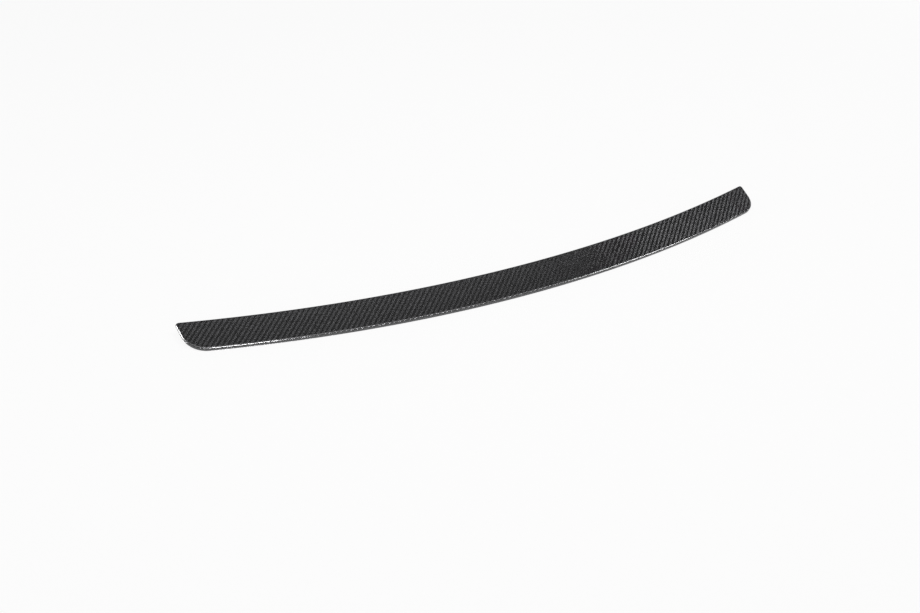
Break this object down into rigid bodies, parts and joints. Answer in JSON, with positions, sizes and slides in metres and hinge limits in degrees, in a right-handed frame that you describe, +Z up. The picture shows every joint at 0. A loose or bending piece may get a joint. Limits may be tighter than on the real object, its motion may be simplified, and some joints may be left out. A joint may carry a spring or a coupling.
{
  "type": "car rear spoiler",
  "caption": "Slim boot-lid lip spoiler moulded as one lacquered carbon-fibre laminate, bowed and crowned, with a turned-down rear lip and an open underside for bonding tape.",
  "frame": {"origin": "on the floor that the rear lip lies on, under the middle of the bounding box", "axes": "+X across the car, along the spoiler; +Y towards the front of the car; +Z up as it lies at rest on its rear lip, which tips it back by about 17 degrees from its place on a level boot lid"},
  "size_m": [0.999, 0.1143, 0.0183],
  "materials": {
    "lacquered_carbon": "gloss clear lacquer over black twill cloth"
  },
  "bodies": {
    "root": {"spoiler_blade": "lacquered_carbon"}
  },
  "joints": []
}
